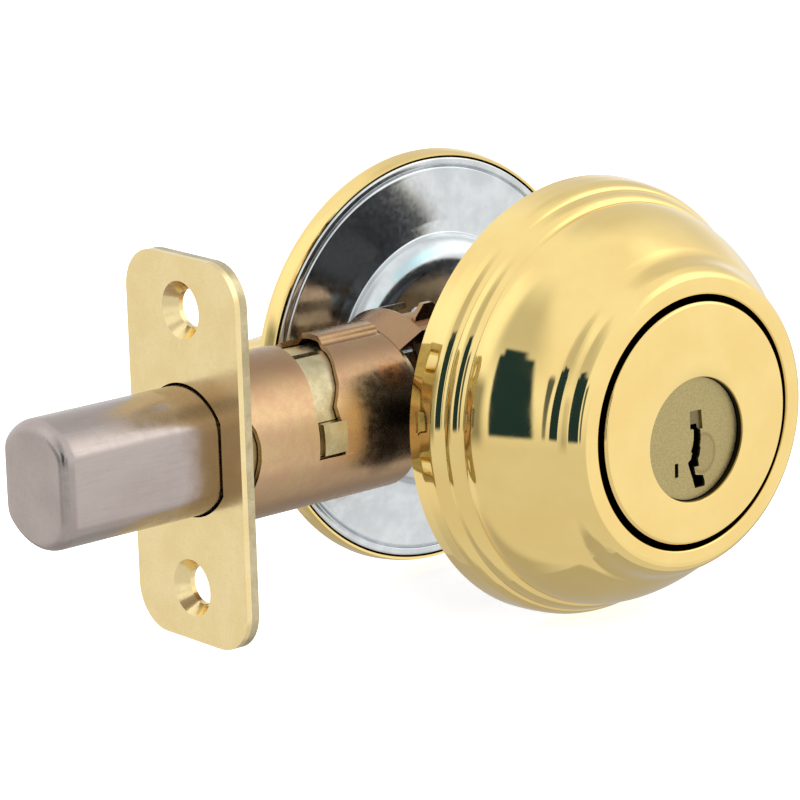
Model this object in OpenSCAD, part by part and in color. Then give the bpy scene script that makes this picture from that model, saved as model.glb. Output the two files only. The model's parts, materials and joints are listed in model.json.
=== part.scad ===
// Single-cylinder deadbolt door lock, locked, on a door prepared with a cross bore and an edge bore.
// +Z is up, -Y faces out of the house, and the bolt leaves the door edge towards -X.
// The origin is the centre of the cross bore on the bolt's centre line, 17.4625 mm behind the door's outer face.

/* [Door] */
// Distance from the door edge to the centre of the cross bore
backset = 60.325; // [60.3:0.005:63]
// Distance between the two trims, which is the door's thickness
door_t = 33; // [32.5:0.1:34.9]

/* [Bolt] */
// Diameter of the round bolt
bolt_d = 19.05; // [18:0.01:19.1]
// Thickness of the bolt between its two flats
bolt_t = 15.88; // [14:0.01:15.9]
// Travel of the bolt
throw = 25.4; // [24:0.1:25.4]
// How far the drawn-back bolt still stands out of the faceplate
bolt_stub = 1.6; // [1:0.1:2]
// Length of the solid bolt
bolt_len = 38; // [36:0.5:38.5]
// Rounding of the bolt's outer end
bolt_round = 2; // [0.5:0.1:3]

/* [Faceplate] */
// Width of the faceplate
plate_w = 25.4; // [25.4:0.1:27]
// Height of the faceplate
plate_h = 57.15; // [57:0.05:60]
// Corner radius of the faceplate
plate_round = 6.35; // [4:0.05:8]
// Distance between the faceplate's two screw holes
plate_screws = 41.3; // [41:0.1:43]

/* [Latch] */
// Outer diameter of the latch tube
tube_d = 24.2; // [24:0.1:24.6]
// Wall of the latch tube
tube_wall = 0.9; // [0.7:0.1:1]
// Distance of the drive's axis below the bolt's centre line
drive_drop = 2.4; // [2:0.1:2.8]
// Width of the torque blade
blade_w = 6.35; // [5.5:0.05:6.4]
// Thickness of the torque blade
blade_t = 2.4; // [2:0.1:2.5]

/* [Trim] */
// Diameter of the exterior housing where it meets the door
housing_d = 66; // [65.8:0.1:66.4]
// Greatest diameter of the interior rose
rose_d = 64.9; // [64.8:0.1:65.2]
// Diameter of the cylinder's face
face_d = 35.4; // [35:0.1:35.8]
// Diameter of the plug's face
plug_d = 18.4; // [18:0.05:18.5]
// Distance between the two mounting screws
screw_gap = 40; // [39.8:0.1:40.4]

/* [Thumb turn] */
// Length of the thumb turn's wing
wing_len = 32; // [26:0.5:36]
// Height of the thumb turn's wing
wing_h = 15; // [12:0.5:16]

/* [Hidden] */
$fn = 96;
seat = 17.4625;
// The interior trim is drawn for trims 34.925 mm apart, and moved to suit the door
trim_move = door_t - 2 * seat;
plate_x = -backset;
bezel_t = 0.9;
backplate_t = 1.3;
back_x = plate_x + bezel_t + backplate_t;
bolt_r = bolt_d / 2;
bolt_tip = plate_x - bolt_stub - throw;
bolt_rear = bolt_tip + bolt_len;
bolt_gap = 0.35;
axis_z = -drive_drop;
crank = throw / 2;
pin_z = axis_z + crank;
bar_x = -58;
rivet = [-54, 6.1];
tube_r = tube_d / 2;
tube_end = -26;
sleeve_r = tube_r - tube_wall - 0.1;
sleeve_wall = 0.8;
sleeve_end = -24.5;
window_x = [-45, -39.6];
rib_x = [-37.6, -26];
cheek_y = [2.6, 3.9];
case_y = [8.3, 9.5];
case_x = [-24, 19.5];
case_h = 8.4;
journal_r = 5;
barrel_r = 6.2;
run_gap = 0.05;
clip_r = 6.2;
pin_r = 1;
screw_r = 2.08;
screw_x = screw_gap / 2;
plug_r = plug_d / 2;
plug_body_r = plug_r - 0.8;
plug_front = 41.8;
plug_rear = 21.5;
tail_end = 18.6;
face_h = 42.5;
chambers = [for (i = [0 : 4]) 38.4 - 3.3 * i];
spacers = [[-13.2, -6.3], [11.5, -6.3], [17, 4]];
tab_z = -21.1;

// Points along an arc about c, with radius r, from angle a to angle b
function arc(c, r, a, b, n = 8) = [for (i = [0 : n]) c + r * [cos(a + (b - a) * i / n), sin(a + (b - a) * i / n)]];

module cyl_x(r, x0, x1, y = 0, z = 0) translate([x0, y, z]) rotate([0, 90, 0]) cylinder(r = r, h = x1 - x0);
module cyl_y(r, y0, y1, x = 0, z = 0) translate([x, y1, z]) rotate([90, 0, 0]) cylinder(r = r, h = y1 - y0);
// A flat (y, z) drawing pushed along X, and a flat (x, z) drawing pushed along Y
module push_x(x0, x1) translate([x0, 0, 0]) rotate([90, 0, 90]) linear_extrude(x1 - x0) children();
module push_y(y0, y1) translate([0, y1, 0]) rotate([90, 0, 0]) linear_extrude(y1 - y0) children();
// A (radius, height) profile turned about Y, with its height towards the outside or the inside of the door
module turn_out() rotate([90, 0, 0]) rotate_extrude() children();
module turn_in() rotate([-90, 0, 0]) rotate_extrude() children();
module inner_trim() translate([0, trim_move, 0]) children();
module box(lo, hi) translate(lo) cube(hi - lo);

module bolt_section(grow = 0) intersection() {
    circle(bolt_r + grow);
    square([bolt_t + 2 * grow, 3 * bolt_r], center = true);
}

module plate_outline() {
    for (y = [-1, 1], z = [-1, 1])
        translate([y * (plate_w / 2 - plate_round), z * (plate_h / 2 - plate_round)]) circle(plate_round);
    square([plate_w - 2 * plate_round, plate_h], center = true);
    square([plate_w, plate_h - 2 * plate_round], center = true);
}

// ---- Exterior trim and cylinder ----

// Points along a curve pulled towards b and c
function curve(a, b, c, d, n = 10) = [for (i = [0 : n]) let(t = i / n, u = 1 - t)
    u * u * u * a + 3 * u * u * t * b + 3 * u * t * t * c + t * t * t * d];

module exterior_housing() {
    r = housing_d / 2;
    outer = concat([[r, seat], [r - 0.1, seat + 2], [r - 0.5, 22.1], [r - 0.9, 23.1], [r - 1.35, 23.7]],
        arc([r - 2.25, 25.3], 1.2, -50, 60, 6), [[30.1, 27], [30.2, 27.3]],
        curve([30.3, 27.5], [30.6, 29.2], [28, 33.5], [24.5, 38.6]), [[24.1, 39], [23.3, 39.2], [22.9, 39.7]],
        arc([21.2, 40.6], 1.25, 10, 90, 5), arc([19.9, 40.9], 1, 85, 170, 4));
    inner = [[18.9, 40.2], [21.2, 39.5], [22, 38.4], [23.2, 37.2], [26, 33.4], [28.2, 30], [28.9, 27.8], [29.5, 25.5],
        [30.2, 23], [30.6, 21.5], [r - 1.6, seat]];
    color("gold") turn_out() polygon(concat(outer, inner));
}

module housing_ring() color("lightslategray") difference() {
    turn_out() polygon([[21, seat + 0.2], [31, seat + 0.2], [30.4, 21.5], [29.4, 24.5], [28.2, 24.5], [28.2, 20.4],
        [21, 20.4]]);
    for (s = [-1, 1]) cyl_y(4.4, -21, -seat, s * screw_x);
}

module cylinder_housing() color("gold") difference() {
    union() {
        cyl_y(face_d / 2 - 0.3, -face_h, -face_h + 1);
        cyl_y(face_d / 2, -face_h + 0.3, -38.2);
        cyl_y(15.4, -39, -23);
        cyl_y(26.6, -24, -20.6);
        for (s = [-1, 1]) cyl_y(4, -21, -11.5, s * screw_x);
    }
    cyl_y(plug_r + run_gap, -face_h - 1, -39.4, 0, axis_z);
    cyl_y(plug_body_r + run_gap, -40, -plug_rear, 0, axis_z);
    cyl_y(11.2, -plug_rear - 0.1, -20, 0, axis_z);
    // Chamfer round the plug and the groove for the side bar
    translate([0, -face_h + 0.4, axis_z]) rotate([90, 0, 0]) cylinder(r1 = plug_r, r2 = plug_r + 0.5, h = 0.5);
    box([plug_body_r - 1, -38.5, axis_z - 1.3], [plug_body_r + 1.2, -23.5, axis_z + 1.3]);
    for (s = [-1, 1]) cyl_y(screw_r + 0.02, -22.5, -11, s * screw_x);
}

// Keyway seen from outside, measured from the plug's axis
module keyway() polygon([[0.1, 2], [1.3, 1.95], [1.45, 1.2], [1.75, 1], [1.8, -0.5], [1.6, -1.4], [1.75, -1.7],
    [1.5, -2.8], [1.2, -3.3], [1.4, -4.4], [0.4, -4.4], [0.7, -5.6], [2.15, -5.9], [2.5, -6.9], [2.45, -7.6],
    [0.5, -7.6], [0, -6], [-0.7, -4.1], [-0.85, -3.5], [-0.25, -3.1], [0.05, -2.2], [-0.2, -2], [0.15, -1.2],
    [0.35, -0.2], [0.4, 1.2], [0.1, 1.4]]);

// What the tail leaves free, so that the blade can turn a quarter of a turn without the plug
module tail_slot() {
    w = blade_w / 2 + 0.2;
    t = blade_t / 2 + 0.15;
    square([2 * t, 2 * w], center = true);
    square([2 * w, 2 * t], center = true);
    intersection() {
        circle(norm([w, t]));
        union() {
            square(2 * w);
            rotate(180) square(2 * w);
        }
    }
}

module cylinder_plug() color("darkkhaki") difference() {
    union() {
        cyl_y(plug_r, -plug_front, -39.4, 0, axis_z);
        cyl_y(plug_body_r, -39.5, -plug_rear, 0, axis_z);
        cyl_y(5.2, -plug_rear - 0.5, -tail_end, 0, axis_z);
    }
    translate([0, 0, axis_z]) {
        push_y(-plug_front - 1, -24.3) keyway();
        push_y(-plug_front - 1, -plug_front + 0.4) polygon([[-0.35, 4.1], [1.95, 4], [2.2, 1.1], [-0.3, 1.4]]);
        push_y(-plug_front - 1, -24) translate([-3.5, -5.3]) square([0.7, 2.1]);
        push_y(-23.4, -tail_end + 1) tail_slot();
        for (h = chambers) translate([0, -h, 1.5]) cylinder(r = 1.45, h = 6.3);
        for (h = chambers) box([2.3, -h - 0.65, -6], [4.2, -h + 0.65, 5.5]);
        box([4.1, -38, -1.1], [plug_r, -24, 1.1]);
    }
    difference() {
        cyl_y(6, -20.9, -19.9, 0, axis_z);
        cyl_y(4.6, -21, -19.8, 0, axis_z);
    }
}

module key_pins() color("darkgoldenrod") translate([0, 0, axis_z]) for (h = chambers)
    translate([0, -h, 2.5]) cylinder(r = 1.4, h = 2.6);

module pin_springs() color("silver") translate([0, 0, axis_z]) for (h = chambers)
    translate([0, -h, 5.2]) difference() {
        cylinder(r = 1.35, h = 2.6);
        translate([0, 0, -1]) cylinder(r = 0.95, h = 5);
    }

module wafers() color("gray") translate([0, 0, axis_z]) for (h = chambers) difference() {
    box([2.45, -h - 0.55, -5.4], [3.9, -h + 0.55, 4.6]);
    box([3.4, -h - 1, -0.5], [5, -h + 1, 0.5]);
}

module side_bar() color("silver") translate([0, 0, axis_z])
    push_y(-37.8, -24.2) polygon([[4.7, -0.9], [7.4, -0.9], [8.1, 0], [7.4, 0.9], [4.7, 0.9]]);

module side_bar_springs() color("silver") for (y = [-35.6, -26.4])
    translate([4.2, y, axis_z]) rotate([0, 90, 0]) cylinder(r = 0.7, h = 0.45);

module plug_clip() color("dimgray") difference() {
    cyl_y(10.6, -20.85, -19.95, 0, axis_z);
    cyl_y(4.7, -21, -19.8, 0, axis_z);
    box([-3.6, -22, axis_z - 12], [3.6, -19, axis_z]);
}

// ---- Drive ----

module torque_blade() color("silver") translate([0, 0, axis_z])
    push_y(-23.1, 29 + trim_move) square([blade_t, blade_w], center = true);

module blade_slot() square([blade_t + 0.3, blade_w + 0.3], center = true);

// Hub of the latch, with a forked arm that carries the tail pin along as it turns
module drive_hub() {
    slot = 1.3 + 1.15;
    prong = 1.3;
    reach = crank * sqrt(2) + 0.3;
    color("burlywood") translate([0, 0, axis_z]) difference() {
        union() {
            cyl_y(barrel_r, -8.1, 8.1);
            cyl_y(journal_r, -9.9, 9.9);
            rotate([0, -45, 0]) push_y(-2.3, 2.3) polygon([[-5.8, 0], [-slot - prong, 9], [-slot - prong, reach - 1],
                [-slot - 0.2, reach], [-slot, reach], [-slot, 10.9], [slot, 10.9], [slot, reach],
                [slot + 0.2, reach], [slot + prong, reach - 1], [slot + prong, 9], [5.8, 0]]);
        }
        push_y(-11, 11) blade_slot();
        // Two shallow notches for the detent spring
        for (a = [90, 180]) rotate([0, a, 0]) cyl_y(1.2, -3.2, 3.2, barrel_r + 0.7, 0);
    }
}

// ---- Latch ----

module screw_dimple() rotate([0, 90, 0]) difference() {
    union() {
        cylinder(r1 = 5, r2 = 3.6, h = 2.1);
        cylinder(r = 3.6, h = 2.7);
    }
    translate([0, 0, -0.01]) cylinder(r1 = 4.25, r2 = 2.8, h = 1.9);
    translate([0, 0, -1]) cylinder(r = 2.8, h = 5);
}

module faceplate() color("gold") {
    difference() {
        push_x(plate_x, plate_x + bezel_t) plate_outline();
        push_x(plate_x - 1, back_x) bolt_section(bolt_gap);
        for (s = [-1, 1]) cyl_x(4.4, plate_x - 1, back_x, 0, s * plate_screws / 2);
    }
    for (s = [-1, 1]) translate([plate_x, 0, s * plate_screws / 2]) screw_dimple();
}

module backplate() color("khaki") difference() {
    push_x(plate_x + bezel_t, back_x) plate_outline();
    cyl_x(tube_r + 0.02, plate_x, back_x + 1);
    for (s = [-1, 1]) cyl_x(5.1, plate_x, back_x + 1, 0, s * plate_screws / 2);
}

// Rolled tube: the seam along its top is raised over the rear part, and the window shows the inner sleeve
module latch_tube() color("peru") difference() {
    union() {
        cyl_x(tube_r, plate_x + bezel_t, tube_end);
        push_x(rib_x[0], rib_x[1]) polygon([[-4, 11], [-3.5, 12.2], [-2.4, 12.85], [2.4, 12.85], [3.5, 12.2], [4, 11]]);
    }
    cyl_x(tube_r - tube_wall, plate_x, 0);
    push_x(rib_x[0] - 1, rib_x[1] + 1) polygon([[-3.1, 10], [-2.8, 11.7], [-2.1, 12.1], [2.1, 12.1], [2.8, 11.7], [3.1, 10]]);
    push_x(window_x[0], window_x[1]) polygon([[7, 8.4], [12, 14.4], [-14, 14.4], [-14, -2.2], [-8, -2.2]]);
    push_x(window_x[1] - 0.1, window_x[1] + 1.3) polygon([[7, 8.4], [12, 14.4], [-14, 14.4], [-14, 6.2], [-8, 6.2]]);
    translate([back_x - 12.4, 0, -4.2]) rotate([90, 0, 0]) cylinder(r = 13.8, h = 20);
}

module inner_sleeve() color("tan") difference() {
    cyl_x(sleeve_r, back_x + 0.2, sleeve_end);
    cyl_x(sleeve_r - sleeve_wall, back_x - 1, 0);
    for (s = [-1, 1]) push_x(-44.2, 0) translate([s * 8.9 - 0.7, -3.8]) square([1.4, 7.6]);
    push_x(window_x[0] + 0.4, window_x[1] - 0.6) translate([-12, -1.9]) square([3.2, 4.8]);
    // Seam beside the tube's raised one
    push_x(window_x[0] + 1.8, rib_x[0]) translate([-3.2, 9]) square([1.1, 4]);
}

module backset_stud() color("tan") intersection() {
    push_x(window_x[0] + 0.5, window_x[1] - 0.7) translate([-14, -1.8]) square([6, 4.6]);
    difference() {
        cyl_x(tube_r + 0.2, window_x[0], window_x[1]);
        cyl_x(sleeve_r - sleeve_wall + 0.05, -60, 0);
    }
}

module bolt() color("rosybrown") difference() {
    intersection() {
        push_x(bolt_tip, bolt_rear) bolt_section();
        translate([bolt_tip, 0, 0]) rotate([0, 90, 0]) rotate_extrude() polygon(concat([[0, 0]],
            arc([bolt_r - bolt_round, bolt_round], bolt_round, -90, 0), [[bolt_r, bolt_len], [0, bolt_len]]));
        translate([0, 0, -bolt_r - 1]) linear_extrude(2 * bolt_r + 2)
            polygon(concat([for (p = arc([bolt_round, bolt_t / 2 - bolt_round], bolt_round, 90, 180))
                p + [bolt_tip, 0]],
                [for (p = arc([bolt_round, bolt_round - bolt_t / 2], bolt_round, 180, 270)) p + [bolt_tip, 0]],
                [[bolt_rear, -bolt_t / 2], [bolt_rear, bolt_t / 2]]));
    }
    cyl_x(3.1, bolt_tip + 4, bolt_rear + 1, 0, -2);
    for (s = [-1, 1]) push_x(bar_x - 0.2, bolt_rear + 1)
        translate([s * (cheek_y[0] + cheek_y[1]) / 2 - 0.7, 4.2]) square([1.4, 6]);
    cyl_y(0.85, -8.5, 8.5, rivet[0], rivet[1]);
}

module saw_pin() color("dimgray") cyl_x(3.05, bolt_tip + 4.1, bolt_rear - 1, 0, -2);

// Two bars from the bolt to the pin that the hub's fork drives
module tail_plates() color("lightsteelblue") for (s = [-1, 1]) difference() {
    y = s * (cheek_y[0] + cheek_y[1]) / 2;
    t = (cheek_y[1] - cheek_y[0]) / 2;
    push_y(y - t, y + t) union() {
        polygon([[bar_x, 4.4], [-10.6, 4.4], [-10.6, 8], [-10.8, pin_z], [-14.6, pin_z], [-15.8, 8], [bar_x, 8]]);
        translate([-crank, pin_z]) circle(1.9);
    }
    cyl_y(1.3, -9, 9, -crank, pin_z);
    cyl_y(0.85, -9, 9, rivet[0], rivet[1]);
}

module tail_pin() color("silver") cyl_y(1.3, -4.4, 4.4, -crank, pin_z);

module tail_rivets() color("silver") cyl_y(0.83, -7.6, 7.6, rivet[0], rivet[1]);

module case_outline(tongue_x) {
    polygon([[tongue_x, -3.5], [case_x[0], -3.5], [case_x[0], -6], [-21, -case_h], [15, -case_h], [case_x[1], -4],
        [case_x[1], 5], [16, case_h], [-21, case_h], [case_x[0], 6], [case_x[0], 3.5], [tongue_x, 3.5]]);
}

module case_plate(side) color("peru") difference() {
    push_y(side > 0 ? case_y[0] : -case_y[1], side > 0 ? case_y[1] : -case_y[0]) case_outline(-44);
    cyl_y(journal_r + run_gap, -12, 12, 0, axis_z);
    for (p = spacers) cyl_y(1.22, -12, 12, p[0], p[1]);
    for (s = [-1, 1]) cyl_y(screw_r + 0.5, -12, 12, s * screw_x);
}

module case_plate_outer() case_plate(-1);
module case_plate_inner() case_plate(1);

module case_spacers() color("silver") for (p = spacers) {
    cyl_y(1.6, -case_y[0] + 0.02, case_y[0] - 0.02, p[0], p[1]);
    cyl_y(1.2, -10, 10, p[0], p[1]);
}

// Slice of the bridge's hood: an arch of radius r about height c, cut off at its sides and feet
module hood_slice(x, c, r, w, low) push_x(x, x + 0.05) intersection() {
    translate([0, c]) circle(r);
    translate([-w, low]) square([2 * w, 9]);
}

// The hood drawn in by t all round, and longer by e at both ends
module hood(t, e) {
    hull() {
        hood_slice(-25.9 - e, 0, 12.1 - t, 7.3 - t, 9.7 - t);
        hood_slice(-21.6, -1.1, 15 - t, 7.4 - t, 10.2 - t);
    }
    hull() {
        hood_slice(-21.6, -1.1, 15 - t, 7.4 - t, 10.2 - t);
        hood_slice(-16.1 + e, -1.1, 15 - t, 7.4 - t, 10.2 - t);
    }
}

// Folded cover behind the tube, which ties the two case plates together
module case_bridge() color("burlywood") {
    difference() {
        hood(0, 0);
        hood(0.9, 0.2);
        push_x(-21.4, -15) translate([-2.7, 8]) square([5.4, 8]);
    }
    push_y(-5.4, -4.5) polygon([[-21.2, 12.6], [-21, 13.5], [-19.4, 15.3], [-17.8, 15.3], [-16.3, 14], [-16.3, 12.6]]);
    for (s = [-1, 1]) push_x(-23.2, -17) polygon([[s * 6.6, 11], [s * 7.3, 11], [s * 7.4, 10.1], [s * 8.3, 8.3],
        [s * 8.3, 6.9], [s * 6.6, 10]]);
}

module detent_spring() color("silver") push_y(-2.9, 2.9) polygon([[-15.2, -8.3], [-12, -8.4], [-5, -9.15],
    [5, -9.15], [10, -8.4], [13.2, -8.3], [13.2, -8.8], [10, -8.9], [5, -9.65], [-5, -9.65], [-12, -8.9], [-15.2, -8.8]]);

// ---- Interior trim ----

// Pressed plate: a rim that rests on the door, a shallow dish, and a boss that stands into the cross bore
module mounting_plate() color("lightsteelblue") inner_trim() {
    front = concat([[31.25, seat + 2.4], [31.25, seat + 0.12], [31.1, seat], [30.1, seat], [30, seat + 0.45],
        [29.85, seat + 0.45], [29.7, seat + 0.06], [29.4, seat], [21.6, seat - 0.8], [20.4, seat - 1.1],
        [19.6, seat - 1.6]], arc([15.4, seat - 0.2], 4.55, -20, -84, 6), [[14, seat - 4.75], [9.2, seat - 4.75]]);
    back = concat([[9.2, seat - 3.75], [14.4, seat - 3.75]], arc([15.4, seat - 0.2], 3.5, -90, -24, 6),
        [[19.4, seat - 0.7], [21.4, seat + 0.3], [29.3, seat + 1], [30.35, seat + 1.3], [30.4, seat + 2.4]]);
    difference() {
        turn_in() polygon(concat(front, back));
        for (s = [-1, 1]) push_y(10, 21) translate([s * screw_x, 0]) {
            square([5.4, 6.4], center = true);
            for (e = [-3.2, 3.2]) translate([0, e]) circle(2.7);
        }
        box([-2, 14, tab_z - 0.9], [2, 20, tab_z + 0.9]);
    }
    // Lip pressed out beside the slot
    box([-2.4, seat - 0.9, tab_z - 1.8], [2.4, seat + 0.2, tab_z - 0.9]);
}

// Thin rose whose lip closes round the mounting plate's rim
module interior_rose() color("gold") inner_trim() {
    r = rose_d / 2;
    crown = [17.4, 20.2];
    outer = concat([[31.85, seat + 0.1], [32.1, seat + 0.9], [r - 0.05, seat + 2.2], [r, seat + 2.8],
        [r - 0.35, seat + 3.3]], arc([31, 21.9], 1, -45, 60, 6),
        [[30.5, 23.2]], arc(crown, 10.6, 22, 84, 12) + [for (i = [0 : 12]) [3.4 * (1 - i / 12), 0]],
        [[17.6, 30.6], [16.4, 31.2], [0, 31.2]]);
    inner = concat([[0, 29.7], [16, 29.7], [20, 29]], arc(crown, 9, 78, 24, 8) + [for (i = [0 : 8]) [3 * i / 8, 0]],
        [[29.6, 22.4], [29.9, seat + 2.5], [31.5, seat + 2.5], [31.45, seat + 0.1]]);
    difference() {
        turn_in() polygon(concat(outer, inner));
        cyl_y(7 + run_gap, 28, 33, 0, axis_z);
        for (s = [-1, 1]) {
            cyl_y(4.5, 30, 34, s * screw_x);
            cyl_y(2.4, 24, 34, s * screw_x);
        }
    }
}

module mounting_screws() color("gold") inner_trim() for (s = [-1, 1]) difference() {
    union() {
        cyl_y(screw_r, -18.6, 30.5, s * screw_x);
        translate([s * screw_x, 0, 0]) turn_in() polygon(concat([[0, 30], [3.9, 30], [3.9, 30.5]],
            arc([0, 25.7], 6.2, 52, 90)));
    }
    push_y(30.8, 33) translate([s * screw_x, 0]) {
        square([0.9, 4.6], center = true);
        square([4.6, 0.9], center = true);
    }
}

// Stub that carries the thumb turn, with a groove for its clip and a slot for the blade
module turn_spindle() color("silver") inner_trim() difference() {
    union() {
        cyl_y(5.5, 23.6, 26.5, 0, axis_z);
        cyl_y(6.8, 26.4, 27.2, 0, axis_z);
        cyl_y(clip_r, 27.1, 28.3, 0, axis_z);
        cyl_y(7, 28.2, 36, 0, axis_z);
    }
    translate([0, 0, axis_z]) push_y(20, 30.5) blade_slot();
    cross_pin(pin_r + 0.02, 9);
}

module turn_washer() color("ghostwhite") inner_trim() difference() {
    cyl_y(10, 28.4, 29.7, 0, axis_z);
    cyl_y(7.4, 28, 30, 0, axis_z);
}

module turn_clip() color("dimgray") inner_trim() difference() {
    cyl_y(9.4, 27.25, 28.15, 0, axis_z);
    cyl_y(clip_r + 0.03, 27, 28.4, 0, axis_z);
    box([-4.4, 26, axis_z - 12], [4.4, 29, axis_z]);
}

// Oval wing on a round foot
module thumb_turn() color("gold") inner_trim() difference() {
    translate([0, 0, axis_z]) union() {
        turn_in() polygon(concat([[0, 31.6], [11.4, 31.6]], arc([10.6, 32.6], 0.9, -20, 90, 5),
            arc([10.6, 36.4], 2.9, 270, 190, 6), [[7.4, 40], [0, 40]]));
        intersection() {
            hull() for (s = [-1, 1]) translate([s * (wing_len - wing_h) / 2, 51, 0]) rotate([90, 0, 0])
                cylinder(r = wing_h / 2, h = 14);
            hull() for (s = [-1, 1]) translate([s * (wing_len / 2 - 3.2), 0, 0]) {
                translate([0, 49, 0]) cylinder(r = 2.2, h = 20, center = true);
                translate([-s * 7, 37.6, 0]) cylinder(r = 4.2, h = 20, center = true);
            }
            hull() {
                translate([0, 49.4, 0]) rotate([0, 90, 0]) cylinder(r = 1.8, h = 40, center = true);
                translate([0, 37, 0]) rotate([0, 90, 0]) cylinder(r = 5.6, h = 40, center = true);
            }
        }
    }
    cyl_y(7.02, 31, 36.1, 0, axis_z);
    cross_pin(pin_r + 0.02, 9);
}

module cross_pin(r, reach) translate([0, 34.2, axis_z - reach]) cylinder(r = r, h = 2 * reach);

module turn_cross_pin() color("silver") inner_trim() cross_pin(pin_r, 8.5);

exterior_housing();
housing_ring();
cylinder_housing();
cylinder_plug();
key_pins();
pin_springs();
wafers();
side_bar();
side_bar_springs();
plug_clip();
torque_blade();
faceplate();
backplate();
latch_tube();
inner_sleeve();
backset_stud();
bolt();
saw_pin();
tail_plates();
tail_pin();
tail_rivets();
drive_hub();
case_plate_outer();
case_plate_inner();
case_spacers();
case_bridge();
detent_spring();
mounting_plate();
interior_rose();
mounting_screws();
turn_spindle();
turn_washer();
turn_clip();
thumb_turn();
turn_cross_pin();
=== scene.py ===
"""Looks of the deadbolt lock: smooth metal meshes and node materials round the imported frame.

Lengths in the tables below are millimetres in the row frame: +Z up, -Y out of the house, and the bolt leaves
towards -X. The cylinder, plug and thumb turn share an axis along Y.
"""
import json
import math

import bmesh
import bpy
import numpy as np
from mathutils import Matrix, Vector


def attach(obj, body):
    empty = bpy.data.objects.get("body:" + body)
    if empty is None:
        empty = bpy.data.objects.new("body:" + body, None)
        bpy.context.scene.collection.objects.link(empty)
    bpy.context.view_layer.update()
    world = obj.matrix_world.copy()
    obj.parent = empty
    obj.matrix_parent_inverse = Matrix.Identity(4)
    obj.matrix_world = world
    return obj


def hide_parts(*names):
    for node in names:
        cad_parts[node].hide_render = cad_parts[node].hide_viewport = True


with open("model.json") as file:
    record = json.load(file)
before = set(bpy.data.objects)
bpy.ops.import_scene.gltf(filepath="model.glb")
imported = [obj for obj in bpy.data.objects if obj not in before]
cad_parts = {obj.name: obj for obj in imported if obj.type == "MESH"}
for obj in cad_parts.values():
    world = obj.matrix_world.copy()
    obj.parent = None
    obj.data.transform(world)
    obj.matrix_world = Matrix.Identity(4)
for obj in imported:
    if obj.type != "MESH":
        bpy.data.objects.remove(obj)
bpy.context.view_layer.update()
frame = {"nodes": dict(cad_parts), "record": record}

MM = 0.001
SEAT = 17.4625  # from the cross bore's centre to a trim's seat
MOVE = -1.925  # the interior trim is drawn for trims 34.925 mm apart and moved to suit the door
AXIS_Z = -2.4  # the drive's axis below the bolt's centre line
SCREW_X = 20  # the trim screws, left and right of the axis
HOUSING_R = 33.0
TUBE_OUTER, TUBE_INNER = 12.1, 11.3
SEGMENTS = 192

# ---------------------------------------------------------------- meshes


def arc(c, r, a, b, n=10):
    """Points on an arc about c, from angle a to angle b in degrees."""
    steps = np.radians(np.linspace(a, b, n + 1))
    return [(c[0] + r * math.cos(t), c[1] + r * math.sin(t)) for t in steps]


def curve(a, b, c, d, n=20):
    """Points on a curve from a to d, pulled towards b and c."""
    return [tuple((1 - t) ** 3 * p + 3 * (1 - t) ** 2 * t * q + 3 * (1 - t) * t * t * r + t ** 3 * s
                  for p, q, r, s in zip(a, b, c, d)) for t in np.linspace(0, 1, n + 1)]


def soften(points, step=0.25, ease=2):
    """An open outline with evenly spaced points and eased corners."""
    p = np.array(points, float)
    run = np.concatenate([[0], np.cumsum(np.linalg.norm(np.diff(p, axis=0), axis=1))])
    t = np.linspace(0, run[-1], max(3, round(run[-1] / step) + 1))
    q = np.column_stack([np.interp(t, run, p[:, 0]), np.interp(t, run, p[:, 1])])
    for _ in range(ease):
        q[1:-1] = (q[:-2] + 2 * q[1:-1] + q[2:]) / 4
    return [tuple(v) for v in q]


def build(name, verts, faces, angle=32):
    """A smooth-shaded object from points in millimetres."""
    mesh = bpy.data.meshes.new(name)
    mesh.from_pydata([tuple(c * MM for c in v) for v in verts], [], faces)
    ob = bpy.data.objects.new(name, mesh)
    bpy.context.scene.collection.objects.link(ob)
    tidy(ob, angle)
    return ob


def tidy(ob, angle=32):
    """Merges doubled points, turns the faces outwards and marks the sharp edges."""
    bm = bmesh.new()
    bm.from_mesh(ob.data)
    bmesh.ops.remove_doubles(bm, verts=bm.verts, dist=1e-7)
    bmesh.ops.recalc_face_normals(bm, faces=bm.faces)
    bm.to_mesh(ob.data)
    bm.free()
    ob.data.shade_smooth()
    ob.data.set_sharp_from_angle(angle=math.radians(angle))


def loft(name, loops, wrap=False, caps=True, angle=32):
    """Skins closed loops of equally many points; wrap joins the last loop to the first."""
    n = len(loops[0])
    verts = [v for loop in loops for v in loop]
    pairs = [(k, k + 1) for k in range(len(loops) - 1)]
    if wrap:
        pairs.append((len(loops) - 1, 0))
    faces = [(a * n + i, a * n + (i + 1) % n, b * n + (i + 1) % n, b * n + i)
             for a, b in pairs for i in range(n)]
    if caps and not wrap:
        faces += [tuple(range(n)), tuple((len(loops) - 1) * n + i for i in range(n))]
    return build(name, verts, faces, angle)


def lathe(name, profile, side, z=0.0, n=SEGMENTS, angle=32):
    """Turns a closed (radius, height) outline about the Y axis; side -1 is outdoors and 1 indoors."""
    turn = [(math.cos(t), math.sin(t)) for t in np.linspace(0, 2 * math.pi, n, endpoint=False)]
    shift = MOVE if side > 0 else 0
    loops = [[(r * c, side * h + shift, r * s + z) for c, s in turn] for r, h in profile]
    return loft(name, loops, wrap=True, angle=angle)


def rod_y(r, y0, y1, x=0.0, z=0.0, n=96):
    """A round cutter along Y."""
    turn = [(r * math.cos(t), r * math.sin(t)) for t in np.linspace(0, 2 * math.pi, n, endpoint=False)]
    return loft("cutter", [[(x + c, y, z + s) for c, s in turn] for y in (y0, y1)])


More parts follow.
